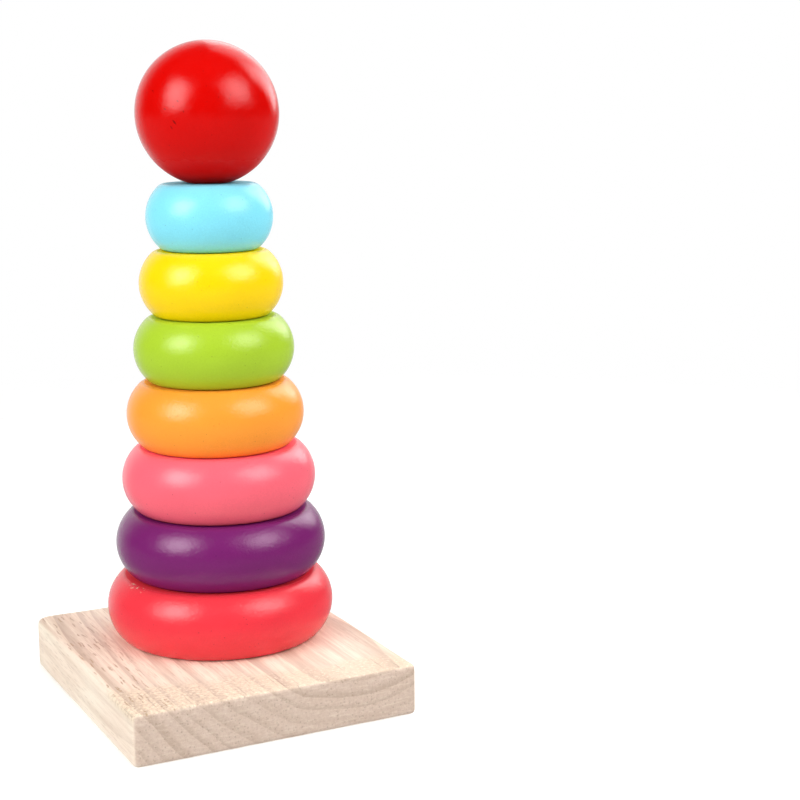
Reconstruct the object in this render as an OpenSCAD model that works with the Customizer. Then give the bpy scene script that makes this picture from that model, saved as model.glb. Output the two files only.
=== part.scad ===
// Wooden stacking ring toy: a base plate with an upright peg, seven painted rings
// that get smaller towards the top, and a ball that caps the peg.
// Millimetres, +Z up. The origin is the centre of the base's underside, and the
// end grain of the base faces -Y, which is the front.

/* [Base plate] */
// Width of the base plate, left to right
base_w = 91; // [86:1:120]
// Depth of the base plate, front to back, along the grain
base_d = 103; // [98:1:130]
// Thickness of the base plate
base_h = 15.8; // [13:0.1:20]
// Radius of the two front corners, seen from above
front_corner_r = 2; // [1.5:0.5:8]
// Radius of the two back corners, seen from above
back_corner_r = 5; // [1.5:0.5:8]
// Rounding of all the edges above and below
base_edge_r = 1.2; // [0.4:0.1:1.4]

/* [Peg] */
// Diameter of the peg
peg_d = 10; // [8:0.5:10.5]
// Distance of the peg to the right of the base's centre
peg_x = 5.5; // [-6:0.5:6]
// Distance of the peg behind the base's centre
peg_y = 9.5; // [0:0.5:12]
// Depth of the glued socket in the base that holds the peg
peg_socket = 10; // [6:0.5:12]
// Length of the peg that stands inside the ball
peg_in_ball = 18; // [10:0.5:19]
// Rounding of the peg's tip
peg_tip_r = 2; // [0.5:0.5:3]

/* [Rings] */
// Diameter of the largest ring at its waist, the ring that lies on the base
largest_ring_d = 73; // [66:0.5:74]
// Difference in diameter between a ring and the next one up
ring_step = 5.5; // [3:0.5:5.5]
// Height of every ring
ring_h = 20.8; // [18:0.1:24]
// Distance that the rounded side stands out beyond the flat faces
ring_bulge = 5.1; // [3:0.1:6]
// Diameter of the bore through every ring
ring_bore_d = 11.4; // [11.2:0.1:12]
// Chamfer at both mouths of the bore
bore_chamfer = 0.5; // [0.2:0.1:0.6]

/* [Ball] */
// Diameter of the ball
ball_d = 44.7; // [42:0.1:50]
// Diameter of the sanded flat that the ball stands on
ball_flat_d = 12.5; // [12.5:0.5:18]
// Diameter of the blind hole in the ball
ball_bore_d = 10.8; // [10.8:0.1:12]
// Depth of the blind hole, from the flat
ball_bore_depth = 20; // [19.5:0.5:24]

/* [Hidden] */

// Order of the rings from the base upwards
CORAL = 0;
PURPLE = 1;
PINK = 2;
ORANGE = 3;
GREEN = 4;
YELLOW = 5;
BLUE = 6;
RING_COUNT = 7;

bare_wood = [0.90, 0.78, 0.66];
paint = [[0.95, 0.28, 0.32], [0.48, 0.16, 0.44], [0.99, 0.46, 0.53], [1.00, 0.64, 0.20],
         [0.68, 0.83, 0.20], [0.99, 0.86, 0.05], [0.60, 0.90, 0.97]];
ball_red = [0.82, 0.07, 0.08];

round_fn = 128;
cut = 0.1; // how far a cutter runs past the face that it opens

stack_top = base_h + RING_COUNT * ring_h;
peg_bottom = base_h - peg_socket;
peg_top = stack_top + peg_in_ball;

ball_r = ball_d / 2;
// Height of the ball's centre above the flat that it stands on
ball_centre_h = sqrt(pow(ball_r, 2) - pow(ball_flat_d / 2, 2));

// Radius of the arc that bows out by ring_bulge over the height of a ring
side_arc_r = (pow(ring_bulge, 2) + pow(ring_h / 2, 2)) / (2 * ring_bulge);

function ring_r(level) = (largest_ring_d - level * ring_step) / 2;
function ring_z(level) = base_h + level * ring_h;

// Cross-section of the base's rim: a bar as wide as given, standing on the X axis,
// with both of its outer corners rounded. The inner side lies on the Y axis.
module rim_section(width) {
    flat_w = width - base_edge_r;
    side_h = base_h - 2 * base_edge_r;
    if (flat_w > 0) square([flat_w, base_h]);
    translate([flat_w, base_edge_r]) square([base_edge_r, side_h]);
    for (z = [base_edge_r, base_h - base_edge_r])
        intersection() {
            translate([flat_w, z]) circle(base_edge_r, $fn = round_fn);
            translate([flat_w, z < base_h / 2 ? 0 : z]) square(base_edge_r);
        }
}

// One quarter-round corner of the base, turned about its own centre
module base_corner(x_side, y_side, corner_r) {
    turn = x_side > 0 ? (y_side > 0 ? 0 : 270) : (y_side > 0 ? 90 : 180);
    translate([x_side * (base_w / 2 - corner_r), y_side * (base_d / 2 - corner_r), 0])
        rotate([0, 0, turn])
            rotate_extrude(angle = 90, $fn = round_fn) rim_section(corner_r);
}

// A straight stretch of rim along +Y, with its outer side towards +X
module rim_bar(length) {
    rotate([90, 0, 0])
        translate([0, 0, -length]) linear_extrude(length) rim_section(base_edge_r);
}

// The four straight stretches of rim, each running from corner to corner
module base_rim() {
    side_x = base_w / 2 - base_edge_r;
    side_y = base_d / 2 - base_edge_r;
    front_span = base_w - 2 * front_corner_r;
    back_span = base_w - 2 * back_corner_r;
    side_span = base_d - front_corner_r - back_corner_r;
    side_start = front_corner_r - base_d / 2;
    translate([side_x, side_start, 0]) rim_bar(side_span);
    translate([-side_x, side_start + side_span, 0]) rotate([0, 0, 180]) rim_bar(side_span);
    translate([back_span / 2, side_y, 0]) rotate([0, 0, 90]) rim_bar(back_span);
    translate([-front_span / 2, -side_y, 0]) rotate([0, 0, 270]) rim_bar(front_span);
}

// The middle of the base inside its rim, notched where the corners stand
module base_core() {
    x = base_w / 2;
    y = base_d / 2;
    e = base_edge_r;
    f = front_corner_r;
    b = back_corner_r;
    linear_extrude(base_h)
        polygon([[f - x, e - y], [x - f, e - y], [x - f, f - y], [x - e, f - y],
                 [x - e, y - b], [x - b, y - b], [x - b, y - e], [b - x, y - e],
                 [b - x, y - b], [e - x, y - b], [e - x, f - y], [f - x, f - y]]);
}

module base_plate() {
    color(bare_wood)
        difference() {
            union() {
                base_core();
                base_rim();
                for (side = [-1, 1]) {
                    base_corner(side, -1, front_corner_r);
                    base_corner(side, 1, back_corner_r);
                }
            }
            translate([peg_x, peg_y, peg_bottom])
                cylinder(h = peg_socket + cut, d = peg_d, $fn = round_fn);
        }
}

// Half section of the peg: a rod with a rounded tip
module peg_section() {
    straight = peg_top - peg_bottom - peg_tip_r;
    flat_r = peg_d / 2 - peg_tip_r;
    square([peg_d / 2, straight]);
    translate([0, straight]) square([flat_r, peg_tip_r]);
    intersection() {
        translate([flat_r, straight]) circle(peg_tip_r, $fn = round_fn);
        translate([flat_r, straight]) square(peg_tip_r);
    }
}

module peg() {
    color(bare_wood)
        translate([peg_x, peg_y, peg_bottom])
            rotate_extrude($fn = round_fn) peg_section();
}

// A square set on its corner, which cuts the chamfer at one mouth of a bore
module mouth_cutter(bore_r) {
    translate([bore_r, 0]) rotate(45) square(bore_chamfer * sqrt(2), center = true);
}

// Half section of a ring: flat above and below, bored, with an outside that is one arc
module ring_section(outer_r) {
    bore_r = ring_bore_d / 2;
    flat_r = outer_r - ring_bulge;
    difference() {
        translate([bore_r, 0]) square([flat_r - bore_r, ring_h]);
        mouth_cutter(bore_r);
        translate([0, ring_h]) mouth_cutter(bore_r);
    }
    intersection() {
        translate([outer_r - side_arc_r, ring_h / 2]) circle(side_arc_r, $fn = round_fn);
        translate([flat_r, 0]) square([ring_bulge, ring_h]);
    }
}

module ring(level) {
    color(paint[level])
        translate([peg_x, peg_y, ring_z(level)])
            rotate_extrude($fn = round_fn) ring_section(ring_r(level));
}

module top_ball() {
    color(ball_red)
        translate([peg_x, peg_y, stack_top])
            difference() {
                translate([0, 0, ball_centre_h]) sphere(d = ball_d, $fn = round_fn);
                translate([0, 0, -ball_r]) cube([ball_d, ball_d, ball_d], center = true);
                translate([0, 0, -cut])
                    cylinder(h = ball_bore_depth + cut, d = ball_bore_d, $fn = round_fn);
            }
}

base_plate();
peg();
ring(CORAL);  // coral_ring
ring(PURPLE);  // purple_ring
ring(PINK);  // pink_ring
ring(ORANGE);  // orange_ring
ring(GREEN);  // green_ring
ring(YELLOW);  // yellow_ring
ring(BLUE);  // blue_ring
top_ball();
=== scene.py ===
import math
from types import SimpleNamespace

import bmesh
import bpy
import numpy as np
from mathutils import Matrix, Vector, noise


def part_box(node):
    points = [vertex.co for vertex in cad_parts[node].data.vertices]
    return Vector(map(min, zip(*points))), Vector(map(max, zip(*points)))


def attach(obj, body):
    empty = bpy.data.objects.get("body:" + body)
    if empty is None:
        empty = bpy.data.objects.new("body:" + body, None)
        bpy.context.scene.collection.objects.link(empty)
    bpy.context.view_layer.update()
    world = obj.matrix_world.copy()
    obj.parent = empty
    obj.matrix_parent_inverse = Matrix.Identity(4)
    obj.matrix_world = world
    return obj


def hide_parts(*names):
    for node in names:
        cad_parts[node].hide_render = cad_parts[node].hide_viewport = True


# Looks of the wooden stacking ring toy. Lengths are in metres, in the CAD frame: the origin
# is the centre of the base's underside, +Z is up and the end grain of the base faces -Y.

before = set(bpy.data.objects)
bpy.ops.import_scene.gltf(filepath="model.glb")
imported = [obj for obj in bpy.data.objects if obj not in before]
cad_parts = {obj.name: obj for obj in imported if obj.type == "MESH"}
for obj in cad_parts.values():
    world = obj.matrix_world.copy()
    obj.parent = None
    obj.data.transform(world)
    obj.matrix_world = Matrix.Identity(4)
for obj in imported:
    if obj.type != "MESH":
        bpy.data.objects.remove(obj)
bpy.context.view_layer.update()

MM = 0.001

# ---------------------------------------------------------------- sizes of the pieces

RINGS = ["coral", "purple", "pink", "orange", "green", "yellow", "blue"]

FRONT_CORNER_R = 2.0 * MM
BACK_CORNER_R = 5.0 * MM
BASE_EDGE_R = 1.2 * MM
PEG_TIP_R = 2.0 * MM
RING_BULGE = 5.1 * MM
RING_BORE_R = 5.7 * MM
BORE_CHAMFER = 0.5 * MM
RIM_SOFTNESS = 1.2 * MM      # how far the softened rim reaches into the flat and into the side
BALL_FLAT_R = 6.25 * MM
BALL_RIM_SOFTNESS = 1.2      # how far the softened rim of the flat reaches up, in degrees
BALL_BORE_R = 5.4 * MM
BALL_BORE_CHAMFER = 0.25 * MM
BALL_BORE_DEPTH = 20.0 * MM
SKIN = 0.05 * MM             # the painted surface lies this far inside the CAD solid

LATHE_STEPS = 200
OUTLINE_STEP = 1.5 * MM      # distance between points along the base's straight sides

# ---------------------------------------------------------------- finish of paint and wood

RING_ROUGHNESS = 0.185
BALL_ROUGHNESS = 0.14
RING_PEEL = 0.105            # depth of the paint's orange peel, in millimetres
BALL_PEEL = 0.075
RING_SHINE = 0.5             # specular level where the paint is whole
BALL_SHINE = 0.36
DULL_SHINE = 0.04            # specular level where the paint is thin
PAINT_IOR = 1.4
WOOD_IOR = 1.45
RING_SPACING = 4.5           # between growth rings of the wood, in millimetres

# Stretches of a ring's upper rim where the paint is chipped: azimuth and half width in degrees
RIM_CHIPS = {"coral": [(-77, 10), (150, 24)], "pink": [(168, 20)], "yellow": [(140, 16)]}

# How far each loose piece sits off the peg's axis, within its clearance on the peg
LOOSE_SHIFT = {
    "coral": -0.09 * MM, "purple": 0.60 * MM, "pink": 0.50 * MM, "orange": -0.11 * MM,
    "green": -0.01 * MM, "yellow": -0.34 * MM, "blue": -0.35 * MM, "ball": -0.19 * MM,
}

# ---------------------------------------------------------------- colours (linear)

PAINT = {
    "coral": (0.84, 0.040, 0.058),
    "purple": (0.180, 0.015, 0.138),
    "pink": (0.93, 0.138, 0.188),
    "orange": (1.00, 0.340, 0.036),
    "green": (0.395, 0.600, 0.030),
    "yellow": (1.00, 0.660, 0.0005),
    "blue": (0.230, 0.740, 0.890),
    "ball": (0.63, 0.0015, 0.0005),
}
BARE_WOOD = (0.80, 0.60, 0.44)
CREAM_WOOD = (0.96, 0.85, 0.70)
PINK_WOOD = (0.92, 0.77, 0.63)
SANDED_WOOD = (0.86, 0.70, 0.52)
END_GRAIN = (0.73, 0.565, 0.462)
GROWTH_LINE = (0.44, 0.29, 0.20)
STREAK = (0.64, 0.46, 0.33)
PALE_FUZZ = (0.99, 0.90, 0.74)
VESSEL = (0.32, 0.20, 0.12)
FLECK = (0.46, 0.29, 0.16)


# ---------------------------------------------------------------- mesh helpers

def smoothstep(low, high, x):
    t = min(max((x - low) / (high - low), 0.0), 1.0)
    return t * t * (3 - 2 * t)


def arc(centre, radius, start_deg, end_deg, steps):
    """Points along an arc in the (r, z) plane, both ends included."""
    angles = np.radians(np.linspace(start_deg, end_deg, steps + 1))
    return [(centre[0] + radius * math.cos(a), centre[1] + radius * math.sin(a)) for a in angles]


def bend(start, corner, end, steps):
    """Points of a soft corner from start to end, without the two ends."""
    ts = [i / steps for i in range(1, steps)]
    return [tuple((1 - t) ** 2 * a + 2 * t * (1 - t) * b + t * t * c
                  for a, b, c in zip(start, corner, end)) for t in ts]


def line(start, end, steps):
    """Points from start to end, without the two ends."""
    return [tuple(a + (b - a) * i / steps for a, b in zip(start, end)) for i in range(1, steps)]


def new_object(name, mesh):
    for polygon in mesh.polygons:
        polygon.use_smooth = True
    piece = bpy.data.objects.new(name, mesh)
    bpy.context.scene.collection.objects.link(piece)
    return piece


def lathe(name, profile, centre, closed):
    """Turns a profile of (r, z) points about a vertical axis. A point with r = 0 is a pole."""
    bm = bmesh.new()
    loops = []
    for r, z in profile:
        if r <= 1e-7:
            loops.append([bm.verts.new((centre.x, centre.y, z))])
            continue
        turns = [2 * math.pi * k / LATHE_STEPS for k in range(LATHE_STEPS)]
        loops.append([bm.verts.new((centre.x + r * math.cos(a), centre.y + r * math.sin(a), z))
                      for a in turns])
    pairs = list(zip(loops, loops[1:] + (loops[:1] if closed else [])))
    for low, high in pairs if closed else pairs[:len(loops) - 1]:
        for k in range(LATHE_STEPS):
            m = (k + 1) % LATHE_STEPS
            if len(low) == 1:
                bm.faces.new((low[0], high[m], high[k]))
            elif len(high) == 1:
                bm.faces.new((low[k], low[m], high[0]))
            else:
                bm.faces.new((low[k], low[m], high[m], high[k]))
    bmesh.ops.recalc_face_normals(bm, faces=bm.faces)
    mesh = bpy.data.meshes.new(name)
    bm.to_mesh(mesh)
    bm.free()
    return new_object(name, mesh)


def mark(piece, name, values):
    """Stores one number per vertex for the piece's material."""
    attribute = piece.data.attributes.new(name, "FLOAT", "POINT")
    attribute.data.foreach_set("value", np.asarray(values, np.float32))


def hand_finish(piece, seed, weight, broad=0.045 * MM, fine=0.012 * MM):
    """The slight waviness that turning, sanding and dipping leave. weight(co) is 0 where the
    surface has to stay flat."""
    shift = Vector((seed * 3.7, seed * 1.9, seed * 5.3))
    normals = [v.normal.copy() for v in piece.data.vertices]
    for vertex, normal in zip(piece.data.vertices, normals):
        co = vertex.co
        wave = broad * noise.noise(co / (13 * MM) + shift) + fine * noise.noise(co / (4 * MM) + shift)
        vertex.co = co + normal * wave * weight(co)


def direction(azimuth, elevation):
    """Unit vector towards a place: azimuth 0 is the front (-Y), and positive turns to +X."""
    a, e = math.radians(azimuth), math.radians(elevation)
    return Vector((math.sin(a) * math.cos(e), -math.cos(a) * math.cos(e), math.sin(e)))


def tangent(azimuth, elevation, turn):
    """Unit vector along a sphere's surface, turned up from level by turn degrees."""
    level = direction(azimuth + 90, 0)
    up = level.cross(direction(azimuth, elevation))
    t = math.radians(turn)
    return level * math.cos(t) + up * math.sin(t)


def press_dents(piece, centre, dents):
    """Small dents: each is (azimuth, elevation, width, depth, length ratio, turn) about centre."""
    for azimuth, elevation, width, depth, ratio, turn in dents:
        out = direction(azimuth, elevation)
        along = tangent(azimuth, elevation, turn)
        across = tangent(azimuth, elevation, turn + 90)
        for vertex in piece.data.vertices:
            d = vertex.co - centre
            if d.dot(out) <= 0:
                continue
            reach = math.hypot(d.dot(along) / ratio, d.dot(across)) / width
            if reach < 1:
                vertex.co -= d.normalized() * depth * (1 - reach * reach) ** 2


# ---------------------------------------------------------------- node helpers

class Nodes:
    """A material with a Principled shader, and short calls for adding nodes to it."""

    def __init__(self, name):
        self.material = bpy.data.materials.new(name)
        self.material.use_nodes = True
        self.tree = self.material.node_tree
        self.shader = self.tree.nodes["Principled BSDF"]

    def add(self, kind, inputs=None, **settings):
        node = self.tree.nodes.new(kind)
        for key, value in settings.items():
            setattr(node, key, value)
        for key, value in (inputs or {}).items():
            self.feed(node.inputs[key], value)
        return node

    def feed(self, socket, value):
        if isinstance(value, bpy.types.NodeSocket):
            self.tree.links.new(value, socket)
        elif isinstance(value, tuple) and len(value) == 3 and socket.type == "RGBA":
            socket.default_value = (*value, 1.0)
        else:
            socket.default_value = value

    def math(self, operation, *values, clamp=False):
        node = self.add("ShaderNodeMath", operation=operation, use_clamp=clamp)
        for socket, value in zip(node.inputs, values):
            self.feed(socket, value)
        return node.outputs[0]

    def vector(self, operation, *values):
        node = self.add("ShaderNodeVectorMath", operation=operation)
        for socket, value in zip(node.inputs, values):
            self.feed(socket, value)
        return node.outputs["Value"] if operation in ("LENGTH", "DOT_PRODUCT") else node.outputs[0]

    def noise(self, where, scale, detail=3.0, roughness=0.5):
        node = self.add("ShaderNodeTexNoise", {
            "Vector": where, "Scale": scale, "Detail": detail, "Roughness": roughness})
        return node.outputs["Fac"]

    def step(self, value, low, high, out_low=0.0, out_high=1.0):
        """Smooth step from out_low to out_high as value goes from low to high."""
        node = self.add("ShaderNodeMapRange", {
            "Value": value, "From Min": low, "From Max": high, "To Min": out_low,
            "To Max": out_high}, interpolation_type="SMOOTHSTEP")
        return node.outputs["Result"]

    def mix(self, factor, a, b, blend="MIX"):
        node = self.add("ShaderNodeMix", data_type="RGBA", blend_type=blend)
        self.feed(node.inputs["Factor"], factor)
        self.feed(node.inputs[6], a)
        self.feed(node.inputs[7], b)
        return node.outputs[2]

    def place(self):
        """The point on the piece in millimetres, in the toy's own frame."""
        here = self.add("ShaderNodeTexCoord").outputs["Object"]
        return self.vector("SCALE", here, (0, 0, 0), (0, 0, 0), 1 / MM)

    def attribute(self, name):
        return self.add("ShaderNodeAttribute", attribute_name=name).outputs["Fac"]

    def bump(self, height, distance, strength=1.0):
        node = self.add("ShaderNodeBump", {
            "Height": height, "Distance": distance, "Strength": strength})
        return node.outputs["Normal"]

    def finish(self, color, roughness, normal, **constants):
        self.feed(self.shader.inputs["Base Color"], color)
        self.feed(self.shader.inputs["Roughness"], roughness)
        self.feed(self.shader.inputs["Normal"], normal)
        for name, value in constants.items():
            self.shader.inputs[name.replace("_", " ")].default_value = value
        return self.material


# ---------------------------------------------------------------- materials

def scuff(n, centre, along, length, width):
    """1 on a thin dark knock in the paint, centred at centre (millimetres), and 0 around it."""
    off = n.vector("SUBTRACT", n.place(), tuple(centre))
    run = n.vector("DOT_PRODUCT", off, tuple(along))
    reach = n.vector("LENGTH", off)
    excess = n.math("MULTIPLY", n.math("MULTIPLY", run, run), 1 - (width / length) ** 2)
    square = n.math("SUBTRACT", n.math("MULTIPLY", reach, reach), excess)
    gap = n.math("SQRT", n.math("MAXIMUM", square, 0.0))
    return n.step(gap, 0.25 * width, 0.6 * width, 1.0, 0.0)


def paint_material(name, color, seed, roughness, peel_depth, shine, scuffs=()):
    """Opaque gloss paint on turned wood: fine orange peel, a few pores, and rims worn to wood
    where the attribute "rim" is 1. A second mark lowers the shine and roughens the paint. On the
    rings' flats that is thin paint. On the ball's underside it is painted shade, which keeps that
    part dark as if in shade."""
    n = Nodes(name)
    here = n.vector("ADD", n.place(), (seed * 37.0, seed * 11.0, seed * 23.0))
    cloud = n.noise(here, 0.08, detail=2.0)
    speck = n.noise(here, 2.2, detail=3.0, roughness=0.65)
    tone = n.math("ADD", n.math("MULTIPLY", cloud, 0.10), n.math("MULTIPLY", speck, 0.22))
    shade = n.math("ADD", tone, 0.84)
    painted = n.mix(1.0, color, n.add("ShaderNodeCombineColor", {
        "Red": shade, "Green": shade, "Blue": shade}).outputs[0], blend="MULTIPLY")

    pores = n.add("ShaderNodeTexVoronoi", {"Vector": here, "Scale": 0.55, "Randomness": 1.0})
    pore = n.step(pores.outputs["Distance"], 0.06, 0.13, 1.0, 0.0)
    pore = n.math("MULTIPLY", pore, n.step(n.noise(here, 0.17, detail=1.0), 0.50, 0.60))

    rim = n.attribute("rim")
    worn = n.math("MULTIPLY", rim, n.step(n.noise(here, 0.9, detail=4.0, roughness=0.7), 0.58, 0.60))
    with_pores = n.mix(n.math("MULTIPLY", pore, 0.45), painted, tuple(c * 0.25 for c in color))
    for centre, along, length, width in scuffs:
        with_pores = n.mix(n.math("MULTIPLY", scuff(n, centre, along, length, width), 0.75),
                           with_pores, tuple(c * 0.12 for c in color))
    final = n.mix(worn, with_pores, BARE_WOOD)

    # Low shine: thin paint on the rings' flats, and painted shade on the ball's underside
    thin_paint_and_shade = n.attribute("thin_paint_and_shade")
    smear = n.noise(here, 0.35, detail=3.0)
    rough = n.math("ADD", n.math("MULTIPLY", smear, 0.12), roughness - 0.06)
    rough = n.math("ADD", rough, n.math("MULTIPLY", thin_paint_and_shade, 0.25))
    rough = n.math("ADD", rough, n.math("MULTIPLY", worn, 0.35), clamp=True)

    peel = n.noise(here, 1.35, detail=3.0, roughness=0.66)
    swell = n.noise(here, 0.30, detail=1.0)
    relief = n.math("ADD", n.math("MULTIPLY", peel, peel_depth), n.math("MULTIPLY", swell, 0.06))
    relief = n.math("SUBTRACT", relief, n.math("MULTIPLY", pore, 0.02))
    relief = n.math("SUBTRACT", relief, n.math("MULTIPLY", worn, 0.05))
    normal = n.bump(relief, MM)
    n.feed(n.shader.inputs["Specular IOR Level"], n.step(thin_paint_and_shade, 0.0, 1.0, shine, DULL_SHINE))
    return n.finish(final, rough, normal, IOR=PAINT_IOR)


def growth_rings(n, turned, pith, crown, bend, spacing):
    """How far a point lies in dark late wood.
    The pith runs along the grain, nearest the plate at crown and arching away from there."""
    drift = n.add("ShaderNodeTexNoise", {
        "Vector": n.vector("MULTIPLY", turned, (1.0, 0.30, 1.0)), "Scale": 0.030, "Detail": 2.0})
    drift = n.vector("SUBTRACT", drift.outputs["Color"], (0.5, 0.5, 0.5))
    bent = n.vector("ADD", turned, n.vector("MULTIPLY", drift, (7.0, 0.0, 7.0)))
    split = n.add("ShaderNodeSeparateXYZ", {"Vector": bent})
    from_crown = n.math("SUBTRACT", split.outputs["Y"], crown)
    arch = n.math("MULTIPLY", n.math("MULTIPLY", from_crown, from_crown), bend)
    x = n.math("SUBTRACT", split.outputs["X"], pith[0])
    z = n.math("SUBTRACT", n.math("SUBTRACT", split.outputs["Z"], pith[1]), arch)
    radius = n.math("SQRT", n.math("ADD", n.math("MULTIPLY", x, x), n.math("MULTIPLY", z, z)))
    outwards = n.add("ShaderNodeCombineXYZ", {"X": radius}).outputs[0]
    uneven = n.math("MULTIPLY", n.noise(outwards, 0.14, detail=2.0), 1.5)
    count = n.math("ADD", n.math("DIVIDE", radius, spacing), uneven)
    year = n.math("FRACT", count)
    late = n.math("MULTIPLY", n.step(year, 0.45, 0.94), n.step(year, 0.955, 1.0, 1.0, 0.0))
    which = n.noise(n.add("ShaderNodeCombineXYZ", {"X": n.math("FLOOR", count)}).outputs[0], 0.73)
    return n.math("MULTIPLY", late, n.step(which, 0.35, 0.65, 0.30, 1.0))


def dashes(n, where, scale, stretch, size):
    """Short dark dashes along Y in the XY plane of where: cut vessels that lie in the surface."""
    cells = n.add("ShaderNodeTexVoronoi", {
        "Vector": n.vector("MULTIPLY", where, (1.0, stretch, 1.0)), "Scale": scale,
        "Randomness": 1.0}, voronoi_dimensions="2D")
    return n.step(cells.outputs["Distance"], size, size * 1.9, 1.0, 0.0)


def pore_dots(n, turned, scale, size):
    """Round dots where vessels are cut across."""
    cells = n.add("ShaderNodeTexVoronoi", {
        "Vector": n.vector("MULTIPLY", turned, (1.0, 0.05, 1.0)), "Scale": scale})
    return n.step(cells.outputs["Distance"], size, size * 1.8, 1.0, 0.0)


def facing(n, grain_turn):
    """How far a face is end grain, and how far it is one of the two long sides."""
    normal = n.add("ShaderNodeMapping", {
        "Vector": n.add("ShaderNodeTexCoord").outputs["Normal"], "Rotation": grain_turn},
        vector_type="NORMAL")
    split = n.add("ShaderNodeSeparateXYZ", {"Vector": normal.outputs[0]})
    end = n.step(n.math("ABSOLUTE", split.outputs["Y"]), 0.50, 0.85)
    side = n.step(n.math("ABSOLUTE", split.outputs["X"]), 0.50, 0.85)
    return end, side


def in_surface(n, turned, side):
    """Coordinates whose XY plane lies in the face: Z takes X's place on the long sides."""
    split = n.add("ShaderNodeSeparateXYZ", {"Vector": turned})
    side_way = n.add("ShaderNodeCombineXYZ", {"X": split.outputs["Z"], "Y": split.outputs["Y"]})
    surface = n.add("ShaderNodeMix", data_type="VECTOR")
    n.feed(surface.inputs["Factor"], side)
    n.feed(surface.inputs[4], turned)
    n.feed(surface.inputs[5], side_way.outputs[0])
    return surface.outputs[1]


def wood_patterns(n, turned, late, end, side):
    """The patterns that the wood's colour and relief share, each from 0 to 1."""
    w = SimpleNamespace(late=late, end=end)
    w.sanded = n.attribute("sanded")
    w.fuzzy = n.attribute("fuzzy")
    w.across = n.math("MAXIMUM", end, w.sanded)
    w.lengthwise = n.math("SUBTRACT", 1.0, w.across)
    w.calm = n.step(side, 0.0, 1.0, 1.0, 0.55)

    def stretched(along):
        return n.vector("MULTIPLY", turned, (1.0, along, 1.0))

    w.fibre = n.noise(stretched(0.040), 1.1, detail=5.0, roughness=0.66)
    w.silk = n.noise(stretched(0.045), 0.34, detail=3.0, roughness=0.6)
    w.blotch = n.noise(stretched(0.35), 0.045, detail=2.0)
    w.speckle = n.noise(turned, 0.95, detail=5.0, roughness=0.74)
    w.grain = n.noise(turned, 2.4, detail=2.0, roughness=0.6)
    w.rays = n.noise(n.vector("MULTIPLY", turned, (0.12, 0.12, 1.0)), 1.6, detail=2.0)
    w.dots = n.math("MULTIPLY", pore_dots(n, turned, 0.80, 0.15), w.across)

    surface = in_surface(n, turned, side)
    patch = n.step(n.noise(stretched(0.15), 0.085, detail=2.0), 0.40, 0.58, 0.30, 1.0)
    w.short = n.math("MULTIPLY", dashes(n, surface, 1.10, 0.075, 0.10), patch)
    w.short = n.math("MULTIPLY", w.short, w.lengthwise)

    wander = n.add("ShaderNodeTexNoise", {"Vector": turned, "Scale": 0.11, "Detail": 3.0})
    wander = n.vector("MULTIPLY", n.vector("SUBTRACT", wander.outputs["Color"], (0.5, 0.5, 0.5)),
                      (2.2, 14.0, 2.2))
    flecks = dashes(n, n.vector("ADD", surface, wander), 0.62, 0.105, 0.115)
    flecks = n.math("MULTIPLY", flecks, n.attribute("flecked"))
    ragged = n.math("ADD", n.step(w.speckle, 0.40, 0.52), 0.25)
    w.flecks = n.math("MULTIPLY", flecks, ragged, clamp=True)

    strayed = n.vector("ADD", turned, n.vector("MULTIPLY", wander, (0.4, 0.1, 0.4)))
    lumps = n.add("ShaderNodeTexVoronoi", {"Vector": strayed, "Scale": 0.85, "Randomness": 1.0},
                  feature="SMOOTH_F1", voronoi_dimensions="2D")
    w.lumps = lumps.outputs["Distance"]
    return w


def wood_color(n, w, tint):
    """The wood's colour: its ground first, then streaks, growth lines, fuzz and vessels."""
    def tinted(color):
        return tuple(c * tint for c in color)

    def laid(amount, strength, color):
        return n.mix(n.math("MULTIPLY", amount, strength), base, color)

    base = n.mix(n.step(w.blotch, 0.40, 0.62), tinted(CREAM_WOOD), tinted(PINK_WOOD))
    base = laid(w.sanded, 0.8, tinted(SANDED_WOOD))
    base = n.mix(w.end, base, tinted(END_GRAIN))
    silky = n.math("MULTIPLY", n.step(w.silk, 0.44, 0.70), n.step(w.across, 0.0, 1.0, 0.44, 0.15))
    base = laid(silky, w.calm, STREAK)
    fibrous = n.math("MULTIPLY", n.step(w.fibre, 0.44, 0.66), n.math("MULTIPLY", w.lengthwise, 0.42))
    base = laid(fibrous, w.calm, STREAK)
    dark_line = n.math("MULTIPLY", w.late, n.step(w.end, 0.0, 1.0, 0.52, 0.50))
    base = laid(dark_line, w.calm, GROWTH_LINE)
    speckled = n.step(w.end, 0.0, 1.0, n.math("MULTIPLY", w.fuzzy, 0.46), 0.26)
    base = laid(n.step(w.speckle, 0.50, 0.64), speckled, GROWTH_LINE)
    base = laid(n.step(w.lumps, 0.34, 0.62), n.math("MULTIPLY", w.fuzzy, 0.24), GROWTH_LINE)
    raised = n.step(w.end, 0.0, 1.0, n.math("MULTIPLY", w.sanded, 0.70), 0.16)
    base = laid(n.step(w.speckle, 0.36, 0.48, 1.0, 0.0), raised, PALE_FUZZ)
    base = laid(n.step(w.rays, 0.52, 0.66), n.math("MULTIPLY", w.end, 0.16), PALE_FUZZ)
    base = laid(n.step(w.grain, 0.50, 0.72), 0.16, STREAK)
    base = laid(w.dots, 0.30, VESSEL)
    base = laid(w.short, 0.26, VESSEL)
    return laid(w.flecks, 0.68, FLECK)


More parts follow.
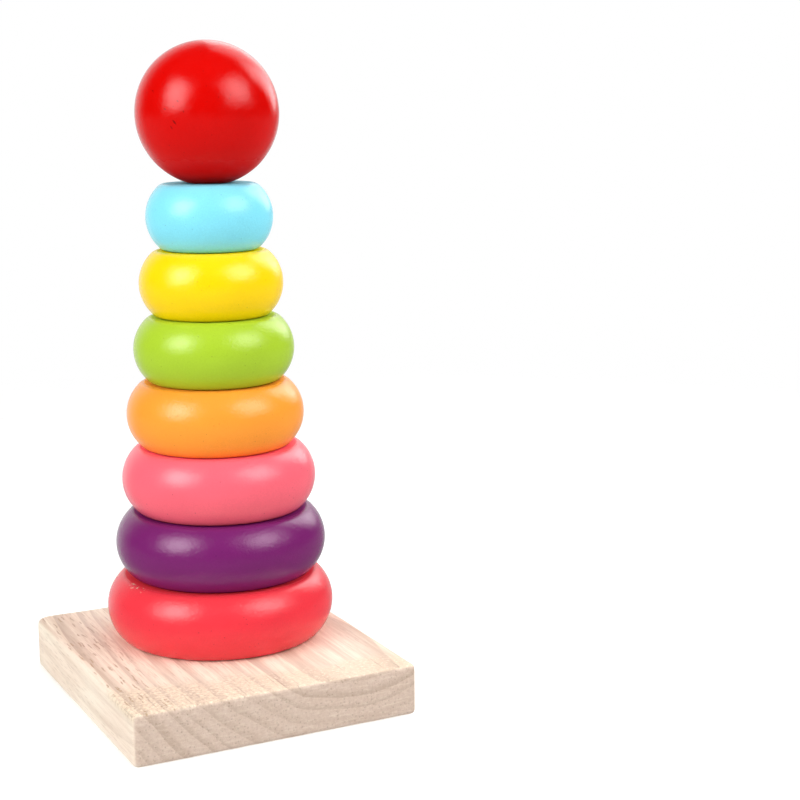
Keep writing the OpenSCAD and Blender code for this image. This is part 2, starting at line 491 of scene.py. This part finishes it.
def wood_relief(n, w):
    """Height of the wood's surface in millimetres: raised fibres and fuzz, sunk vessels."""
    relief = n.math("MULTIPLY", n.math("MULTIPLY", w.fibre, w.lengthwise), 0.16)
    relief = n.math("ADD", relief, n.math("MULTIPLY", n.math("MULTIPLY", w.speckle, w.across), 0.42))
    relief = n.math("ADD", relief, n.math("MULTIPLY", w.grain, 0.05))
    lumpy = n.math("MULTIPLY", w.lumps, w.fuzzy)
    for sunk, depth in ((lumpy, 0.30), (w.short, 0.06), (w.dots, 0.08), (w.flecks, 0.12)):
        relief = n.math("SUBTRACT", relief, n.math("MULTIPLY", sunk, depth))
    return relief


def wood_material(name, grain_turn, pith, crown, bend, tint=1.0):
    """Solid rubberwood: growth rings about the pith, fibres and vessels along the grain.
    grain_turn turns the piece's frame so that its grain runs along Y. The rings' centre
    crosses the turned XZ plane at pith, and arches away from Y = crown by bend; all three
    are in millimetres."""
    n = Nodes(name)
    turned = n.add("ShaderNodeMapping", {"Vector": n.place(), "Rotation": grain_turn}).outputs[0]
    late = growth_rings(n, turned, pith, crown, bend, RING_SPACING)
    w = wood_patterns(n, turned, late, *facing(n, grain_turn))
    rough = n.math("ADD", n.math("MULTIPLY", w.fibre, 0.22), 0.58)
    normal = n.bump(wood_relief(n, w), MM, 0.8)
    return n.finish(wood_color(n, w, tint), rough, normal, IOR=WOOD_IOR)


FLOOR_LIFT = 0.13   # a little light of its own, so that the board shows as plain white


def floor_material():
    """Smooth matt white board with the faintest mottle, which fades into the white backdrop."""
    n = Nodes("white_board")
    here = n.place()
    tone = n.math("ADD", n.math("MULTIPLY", n.noise(here, 0.01), 0.01), 0.92)
    color = n.add("ShaderNodeCombineColor", {"Red": tone, "Green": tone, "Blue": tone}).outputs[0]
    n.feed(n.shader.inputs["Emission Color"], (1.0, 1.0, 1.0))
    n.feed(n.shader.inputs["Emission Strength"], FLOOR_LIFT)
    n.finish(color, 0.7, n.bump(n.noise(here, 1.5), MM, 0.02))
    away = n.step(n.vector("LENGTH", here), 220.0, 620.0)
    fade = n.add("ShaderNodeMixShader", {"Fac": away})
    clear = n.add("ShaderNodeBsdfTransparent")
    n.tree.links.new(n.shader.outputs[0], fade.inputs[1])
    n.tree.links.new(clear.outputs[0], fade.inputs[2])
    n.tree.links.new(fade.outputs[0], n.tree.nodes["Material Output"].inputs["Surface"])
    return n.material


# ---------------------------------------------------------------- pieces

def ring_profile(outer_r, low, high):
    """Closed outline of a ring: bore with chamfers, flats, and one bowed side."""
    height = high - low
    mid = (low + high) / 2
    flat_r = outer_r - RING_BULGE
    arc_r = (RING_BULGE ** 2 + (height / 2) ** 2) / (2 * RING_BULGE)
    full = math.degrees(math.asin(height / 2 / arc_r))
    cut = math.degrees(RIM_SOFTNESS / arc_r)
    side = arc((outer_r - arc_r, mid), arc_r, cut - full, full - cut, 30)
    inner = RING_BORE_R + BORE_CHAMFER

    def face(z, sign):
        """Half of one flat with its chamfer, from the bore outwards."""
        bore_edge = (RING_BORE_R, z + sign * BORE_CHAMFER)
        start, end = (inner, z), (flat_r - RIM_SOFTNESS, z)
        guard = 0.35 * MM
        near, far = (inner + guard, z), (end[0] - guard, z)
        return [bore_edge, start, near, *line(near, far, 6), far, end]

    bottom = face(low, 1)
    top = face(high, -1)
    points = bottom + bend(bottom[-1], (flat_r, low), side[0], 6) + side
    points += bend(side[-1], (flat_r, high), top[-1], 6) + top[::-1]
    return points + line(top[0], bottom[0], 8)


def make_ring(index, colour):
    node = colour + "_ring"
    low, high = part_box(node)
    outer_r = (high.x - low.x) / 2 - SKIN
    axis = (low + high) / 2
    centre = axis + Vector((LOOSE_SHIFT[colour], 0, 0))
    piece = lathe(colour + "_ring_turned", ring_profile(outer_r, low.z, high.z), centre, closed=True)
    flat_r = outer_r - RING_BULGE

    def side_weight(co):
        r = math.hypot(co.x - centre.x, co.y - centre.y)
        return smoothstep(flat_r - RIM_SOFTNESS, flat_r + 1.5 * MM, r)

    hand_finish(piece, index + 1, side_weight)
    rim, thin_paint_and_shade = [], []
    for vertex in piece.data.vertices:
        d = vertex.co - centre
        r = math.hypot(d.x, d.y)
        azimuth = math.degrees(math.atan2(d.x, -d.y))
        away = math.hypot(r - flat_r, high.z - vertex.co.z)
        near = max([1 - smoothstep(0.6 * reach, reach, abs(azimuth - middle))
                    for middle, reach in RIM_CHIPS.get(colour, [])], default=0)
        rim.append(near * (1 - smoothstep(0.5 * MM, 1.6 * MM, away)))
        thin_paint_and_shade.append(1 - smoothstep(flat_r - 1.2 * MM, flat_r - 0.2 * MM, r))
    mark(piece, "rim", rim)
    mark(piece, "thin_paint_and_shade", thin_paint_and_shade)
    seed = index + 1
    piece.data.materials.append(paint_material(
        colour + "_paint", PAINT[colour], seed, RING_ROUGHNESS, RING_PEEL, RING_SHINE))
    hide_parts(node)
    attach(piece, node)


def ball_profile(ball_r, low):
    """Outline of the ball from the hole's end, round the outside, to the top pole."""
    middle = low + math.sqrt(ball_r ** 2 - BALL_FLAT_R ** 2)
    start = math.degrees(math.asin((low - middle) / ball_r))
    side = arc((0, middle), ball_r, start + BALL_RIM_SOFTNESS, 89.5, 170)
    mouth = (BALL_BORE_R, low + BALL_BORE_CHAMFER)
    lip = (BALL_BORE_R + BALL_BORE_CHAMFER, low)
    flat_end = (BALL_FLAT_R - 0.30 * MM, low)
    deep = (BALL_BORE_R, low + BALL_BORE_DEPTH)
    points = [(0, low + BALL_BORE_DEPTH), (BALL_BORE_R / 2, low + BALL_BORE_DEPTH), deep]
    points += line(deep, mouth, 10) + [mouth, lip, flat_end]
    points += bend(flat_end, (BALL_FLAT_R, low), side[0], 4) + side
    return points + [(0, middle + ball_r)]


BALL_SEED = 9

# Dents in the ball: azimuth, elevation, width, depth, length ratio, turn
BALL_DENTS = [
    (-60, 11, 0.45 * MM, 0.10 * MM, 2.0, 30),
    (-42, -1, 0.45 * MM, 0.08 * MM, 1.8, 55),
    (22, 14, 0.40 * MM, 0.08 * MM, 1.3, 10),
    (60, 20, 0.50 * MM, 0.12 * MM, 2.0, -30),
    (118, -12, 0.50 * MM, 0.14 * MM, 3.0, 15),
    (165, 25, 0.45 * MM, 0.12 * MM, 1.5, 70),
    (-140, 8, 0.55 * MM, 0.15 * MM, 2.2, -40),
]

# Knocks in the ball's paint: azimuth, elevation, turn, length and width in millimetres
BALL_SCUFFS = [
    (-47, -6, 52, 1.9, 0.55),
    (-50, -10, 60, 1.3, 0.35),
    (-44, 10, 40, 0.9, 0.40),
    (-55, 4, 20, 0.8, 0.40),
    (-39, 2, 70, 0.7, 0.35),
    (-70, 18, 10, 0.9, 0.35),
    (140, 12, -30, 2.4, 0.60),
]


def make_ball():
    low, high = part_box("top_ball")
    height = high.z - low.z
    ball_r = (height ** 2 + BALL_FLAT_R ** 2) / (2 * height) - SKIN
    centre = (low + high) / 2 + Vector((LOOSE_SHIFT["ball"], 0, 0))
    piece = lathe("top_ball_painted", ball_profile(ball_r, low.z), centre, closed=False)
    middle = Vector((centre.x, centre.y, high.z - ball_r - SKIN))

    def skin_weight(co):
        outside = (co - middle).length > 0.9 * ball_r
        return smoothstep(low.z, low.z + 2 * MM, co.z) if outside else 0

    hand_finish(piece, BALL_SEED, skin_weight, broad=0.05 * MM)
    press_dents(piece, middle, BALL_DENTS)
    mark(piece, "rim", np.zeros(len(piece.data.vertices)))
    # Painted shade: the ball's lower part gets low shine and more roughness, so that it stays dark as if in
    # shade
    mark(piece, "thin_paint_and_shade", [1 - smoothstep(-0.82, -0.42, (v.co.z - middle.z) / ball_r)
                         for v in piece.data.vertices])
    scuffs = [((middle + direction(azimuth, elevation) * ball_r) / MM,
               tangent(azimuth, elevation, turn), length, width)
              for azimuth, elevation, turn, length, width in BALL_SCUFFS]
    piece.data.materials.append(paint_material(
        "red_paint", PAINT["ball"], BALL_SEED, BALL_ROUGHNESS, BALL_PEEL, BALL_SHINE, scuffs))
    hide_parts("top_ball")
    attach(piece, "ball")


def plate_outline(low, high, step):
    """Points and outward normals round the base, anticlockwise from the front left corner."""
    corners = [(low.x, low.y, FRONT_CORNER_R, 180), (high.x, low.y, FRONT_CORNER_R, 270),
               (high.x, high.y, BACK_CORNER_R, 0), (low.x, high.y, BACK_CORNER_R, 90)]
    points = []
    for index, (x, y, r, start) in enumerate(corners):
        inward = (1 if x < 0 else -1, 1 if y < 0 else -1)
        centre = (x + inward[0] * r, y + inward[1] * r)
        for k in range(9):
            a = math.radians(start + 90 * k / 8)
            n = (math.cos(a), math.sin(a))
            points.append((centre[0] + r * n[0], centre[1] + r * n[1], *n))
        nx, ny, nr, nstart = corners[(index + 1) % 4]
        next_inward = (1 if nx < 0 else -1, 1 if ny < 0 else -1)
        a = math.radians(nstart)
        n = (math.cos(a), math.sin(a))
        goal = (nx + next_inward[0] * nr + nr * n[0], ny + next_inward[1] * nr + nr * n[1])
        here = points[-1][:2]
        steps = max(2, round(math.dist(here, goal) / step))
        points += [(*p, *n) for p in line(here, goal, steps)]
    return points


def bridge(bm, a, b):
    """A band of faces between two closed loops of vertices."""
    for k in range(len(a)):
        m = (k + 1) % len(a)
        bm.faces.new((a[k], a[m], b[m], b[k]))


def base_mesh(low, high, socket_floor, peg_axis, socket_r):
    """The plate, from the middle of its underside, up its sides and over its top to the socket."""
    outline = plate_outline(low, high, OUTLINE_STEP)
    bm = bmesh.new()

    def loop(inset, z):
        return [bm.verts.new((x - nx * inset, y - ny * inset, z)) for x, y, nx, ny in outline]

    def towards(target, t, z):
        made = []
        for x, y, nx, ny in outline:
            start = Vector((x - nx * BASE_EDGE_R, y - ny * BASE_EDGE_R))
            made.append(bm.verts.new((*start.lerp(target(start), t), z)))
        return made

    def socket_rim(point):
        axis = peg_axis.to_2d()
        return axis + (point - axis).normalized() * socket_r

    def underside_middle(point):
        return point * 0.02

    loops = [towards(underside_middle, t, low.z) for t in (1.0, 0.8, 0.6, 0.4, 0.2, 0.1, 0.04)]
    ease = [math.radians(90 * k / 6) for k in range(7)]
    loops += [loop(BASE_EDGE_R * (1 - math.sin(a)), low.z + BASE_EDGE_R * (1 - math.cos(a))) for a in ease]
    side_low, side_high = low.z + BASE_EDGE_R, high.z - BASE_EDGE_R
    loops += [loop(0, side_low + (side_high - side_low) * k / 9) for k in range(1, 9)]
    loops += [loop(BASE_EDGE_R * (1 - math.cos(a)), high.z - BASE_EDGE_R * (1 - math.sin(a))) for a in ease]
    loops += [towards(socket_rim, t, high.z) for t in [0.012] + [k / 28 for k in range(1, 29)]]
    for a, b in zip(loops, loops[1:]):
        bridge(bm, a, b)
    bm.faces.new(loops[0][::-1])
    wall = [bm.verts.new(v.co - Vector((0, 0, high.z - socket_floor))) for v in loops[-1]]
    bridge(bm, loops[-1], wall)
    bm.faces.new(wall)
    bmesh.ops.recalc_face_normals(bm, faces=bm.faces)
    mesh = bpy.data.meshes.new("base_plate_sanded")
    bm.to_mesh(mesh)
    bm.free()
    return mesh


def sand_base(piece, low, high, peg_axis, socket_r):
    """Edges worn back unevenly, and faces with the slight roughness of sanding."""
    reach = Vector(((high.x - low.x) / 2, (high.y - low.y) / 2))
    for vertex in piece.data.vertices:
        co = vertex.co
        if math.dist(co.to_2d(), peg_axis.to_2d()) < socket_r + 0.5 * MM:
            continue
        to_side = min(reach.x - abs(co.x), reach.y - abs(co.y))
        to_face = min(co.z - low.z, high.z - co.z)
        edge = 1 - smoothstep(0.4 * MM, 2.2 * MM, math.hypot(max(to_side, 0), max(to_face, 0)))
        worn = 0.5 + 0.5 * noise.noise(co / (7 * MM))
        rough = 0.02 * MM * (0.5 + 0.5 * noise.noise(co / (2.5 * MM) + Vector((9, 4, 2))))
        vertex.co = co - vertex.normal * (edge * worn * 0.16 * MM + rough * (1 if co.z > 1 * MM else 0))


def mark_base(piece, low, high):
    """Where the top is sanded across the grain, where that left fuzz, and where flecks show."""
    sanded, fuzzy, flecked = [], [], []
    for vertex in piece.data.vertices:
        co = vertex.co
        across = (co.x - low.x) / (high.x - low.x)
        depth = (27 - 13 * across + 7 * noise.noise(co / (9 * MM))) * MM
        on_top = smoothstep(high.z - 3 * MM, high.z - 1 * MM, co.z)
        sanded.append(on_top * (1 - smoothstep(depth * 0.55, depth, co.y - low.y)))
        fuzzy.append(sanded[-1] * (1 - 0.65 * smoothstep(0.25, 0.65, across)))
        from_left = co.x - low.x
        band = smoothstep(0.2 * MM, 1.5 * MM, from_left) * (1 - smoothstep(9 * MM, 19 * MM, from_left))
        flecked.append(smoothstep(high.z - 1 * MM, high.z - 0.2 * MM, co.z) * band)
    mark(piece, "sanded", sanded)
    mark(piece, "fuzzy", fuzzy)
    mark(piece, "flecked", flecked)


def make_base():
    low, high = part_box("base_plate")
    peg_low, peg_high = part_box("peg")
    peg_axis = (peg_low + peg_high) / 2
    socket_r = (peg_high.x - peg_low.x) / 2
    mesh = base_mesh(low, high, peg_low.z, peg_axis, socket_r)
    piece = new_object("base_plate_sanded", mesh)
    sand_base(piece, low, high, peg_axis, socket_r)
    mark_base(piece, low, high)
    grain_back = (0, 0, 0)
    piece.data.materials.append(wood_material(
        "base_wood", grain_back, pith=(28.0, 64.0), crown=-28.0, bend=0.0011))
    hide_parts("base_plate")
    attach(piece, "base")


def make_peg():
    low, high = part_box("peg")
    r = (high.x - low.x) / 2
    tip = arc((r - PEG_TIP_R, high.z - PEG_TIP_R), PEG_TIP_R, 0, 90, 8)
    shank = [(r, low.z)] + line((r, low.z), tip[0], 60)
    profile = [(0, low.z)] + shank + tip + [(0, high.z)]
    piece = lathe("peg_dowel", profile, (low + high) / 2, closed=False)
    grain_up = (math.radians(90), 0, 0)
    piece.data.materials.append(wood_material(
        "peg_wood", grain_up, pith=(-30.0, 24.0), crown=20.0, bend=0.00008, tint=0.97))
    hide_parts("peg")
    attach(piece, "base")


# ---------------------------------------------------------------- stage, lights and camera

def make_floor():
    bm = bmesh.new()
    bmesh.ops.create_circle(bm, cap_ends=True, segments=96, radius=6.0)
    mesh = bpy.data.meshes.new("floor")
    bm.to_mesh(mesh)
    bm.free()
    floor = bpy.data.objects.new("floor", mesh)
    bpy.context.scene.collection.objects.link(floor)
    floor.data.materials.append(floor_material())
    floor.visible_glossy = False
    floor.visible_diffuse = False


ROOM_IN_PAINT = 0.02              # brightness of the room as the paint reflects it
TABLE_IN_PAINT = 0.30             # brightness of the board as the paint reflects it
BACKDROP_IN_PAINT = 0.95          # brightness of the backdrop as the paint reflects it
ROOM_FILL = 0.36                  # brightness of the room as it lights the toy
TABLE_FILL = 0.88                 # brightness of the board as it lights the toy
CEILING_FILL = 0.77               # brightness overhead as it lights the toy
BACKDROP_WAY = direction(170, 5)  # where the backdrop stands, behind the toy
RIM_LEAN = 30                     # how far the panels behind the toy lean, in degrees


def fade_to_edge(data):
    """Lets a panel fall off from its middle to its edges, as a lamp behind a diffuser does."""
    data.use_nodes = True
    tree = data.node_tree
    spot = tree.nodes.new("ShaderNodeNewGeometry")
    off = tree.nodes.new("ShaderNodeVectorMath")
    off.operation = "DISTANCE"
    off.inputs[1].default_value = (0.5, 0.5, 0.0)
    fade = tree.nodes.new("ShaderNodeMapRange")
    fade.interpolation_type = "SMOOTHSTEP"
    for key, value in {"From Min": 0.12, "From Max": 0.62, "To Min": 1.35, "To Max": 0.35}.items():
        fade.inputs[key].default_value = value
    tree.links.new(spot.outputs["Parametric"], off.inputs[0])
    tree.links.new(off.outputs["Value"], fade.inputs["Value"])
    tree.links.new(fade.outputs["Result"], tree.nodes["Emission"].inputs["Strength"])


def panel(name, azimuth, elevation, width, height, radiance, lean=0.0):
    """A flat lit panel one metre from the ball, which it faces, turned by lean degrees."""
    ball_low, ball_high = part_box("top_ball")
    away = direction(azimuth, elevation)
    data = bpy.data.lights.new(name, "AREA")
    data.shape = "RECTANGLE"
    data.size, data.size_y = width, height
    data.energy = radiance * math.pi * width * height
    light = bpy.data.objects.new(name, data)
    bpy.context.scene.collection.objects.link(light)
    turn = away.to_track_quat("Z", "Y").to_matrix().to_4x4() @ Matrix.Rotation(
        math.radians(lean), 4, "Z")
    light.matrix_world = Matrix.Translation((ball_low + ball_high) / 2 + away) @ turn
    light.visible_camera = False
    return light


def fill_panel(name, *place):
    """A panel that lights the toy and doesn't show in the paint."""
    light = panel(name, *place)
    light.visible_glossy = False
    light.data.cycles.use_multiple_importance_sampling = False


def glare_panel(name, *place):
    """A panel that shows in the paint and adds no other light."""
    light = panel(name, *place)
    light.visible_diffuse = False
    return light


def softbox(name, azimuth, elevation, width, height, radiance, glare):
    """A softbox: radiance is what lights the toy, and glare is what shows in the paint."""
    fill_panel(name, azimuth, elevation, width, height, radiance)
    shine = glare_panel(name + "_glare", azimuth, elevation, width, height, glare)
    fade_to_edge(shine.data)


def make_lights():
    """Each panel's azimuth, elevation, width and height come before its brightness."""
    softbox("softbox_left", -74, 26.5, 0.70, 0.80, 4.7, 7.8)
    softbox("softbox_right", 35, 32.5, 0.86, 0.74, 3.0, 5.6)
    fill_panel("side_board", 103, 21, 0.94, 0.66, 2.6)
    glare_panel("rim_glare_near", 108, 23, 0.35, 0.90, 2.4, RIM_LEAN)
    glare_panel("rim_glare_far", 125, 32, 1.00, 0.90, 1.7, RIM_LEAN)


def make_world():
    """White backdrop to the eye. It lights the toy as a pale room over a board would, and in
    the paint it is a dim room with the backdrop behind the toy."""
    world = bpy.data.worlds.new("room")
    world.use_nodes = True
    tree = world.node_tree
    links = tree.links
    where = tree.nodes.new("ShaderNodeTexCoord").outputs["Generated"]
    seen = tree.nodes.new("ShaderNodeLightPath")

    def ramp(value, low, high, out_low, out_high):
        node = tree.nodes.new("ShaderNodeMapRange")
        node.interpolation_type = "SMOOTHSTEP"
        links.new(value, node.inputs["Value"])
        node.inputs["From Min"].default_value = low
        node.inputs["From Max"].default_value = high
        node.inputs["To Max"].default_value = out_high
        if isinstance(out_low, float):
            node.inputs["To Min"].default_value = out_low
        else:
            links.new(out_low, node.inputs["To Min"])
        return node.outputs["Result"]

    def choose(switch, off, on):
        node = tree.nodes.new("ShaderNodeMix")
        links.new(switch, node.inputs["Factor"])
        links.new(off, node.inputs["A"])
        if isinstance(on, float):
            node.inputs["B"].default_value = on
        else:
            links.new(on, node.inputs["B"])
        return node.outputs["Result"]

    height = tree.nodes.new("ShaderNodeSeparateXYZ")
    links.new(where, height.inputs[0])
    behind = tree.nodes.new("ShaderNodeVectorMath")
    behind.operation = "DOT_PRODUCT"
    behind.inputs[1].default_value = BACKDROP_WAY
    links.new(where, behind.inputs[0])
    room = ramp(height.outputs["Z"], -0.10, 0.0, TABLE_IN_PAINT, ROOM_IN_PAINT)
    in_paint = ramp(behind.outputs["Value"], 0.62, 0.97, room, BACKDROP_IN_PAINT)
    fill = ramp(height.outputs["Z"], -0.15, 0.05, TABLE_FILL, ROOM_FILL)
    fill = ramp(height.outputs["Z"], 0.45, 0.95, fill, CEILING_FILL)
    lit = choose(seen.outputs["Is Glossy Ray"], fill, in_paint)
    bright = tree.nodes["Background"]
    links.new(choose(seen.outputs["Is Camera Ray"], lit, 1.0), bright.inputs["Strength"])
    bright.inputs["Color"].default_value = (1, 1, 1, 1)
    bpy.context.scene.world = world


CAMERA_DISTANCE = 0.5298   # from the peg's foot, level
CAMERA_AZIMUTH = -20.92    # seen from the peg's axis
CAMERA_HEIGHT = 0.191
CAMERA_HEADING = 27.31     # clockwise from +Y
CAMERA_PITCH = 10.66       # below level
CAMERA_ROLL = -0.425
CAMERA_LENS = 75.36


def make_camera():
    peg_low, peg_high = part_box("peg")
    foot = ((peg_low + peg_high) / 2).to_2d().to_3d()
    place = foot + direction(CAMERA_AZIMUTH, 0) * CAMERA_DISTANCE + Vector((0, 0, CAMERA_HEIGHT))
    data = bpy.data.cameras.new("camera")
    data.lens, data.sensor_width = CAMERA_LENS, 36.0
    data.clip_start = 0.01
    camera = bpy.data.objects.new("camera", data)
    bpy.context.scene.collection.objects.link(camera)
    heading = Matrix.Rotation(math.radians(-CAMERA_HEADING), 4, "Z")
    pitch = Matrix.Rotation(math.radians(90 - CAMERA_PITCH), 4, "X")
    roll = Matrix.Rotation(math.radians(CAMERA_ROLL), 4, "Z")
    camera.matrix_world = Matrix.Translation(place) @ heading @ pitch @ roll
    bpy.context.scene.camera = camera


# ---------------------------------------------------------------- build

bpy.context.scene.view_settings.view_transform = "Standard"
make_camera()
make_lights()
make_world()
make_floor()
make_base()
make_peg()
for index, colour in enumerate(RINGS):
    make_ring(index, colour)
make_ball()

bpy.context.view_layer.update()
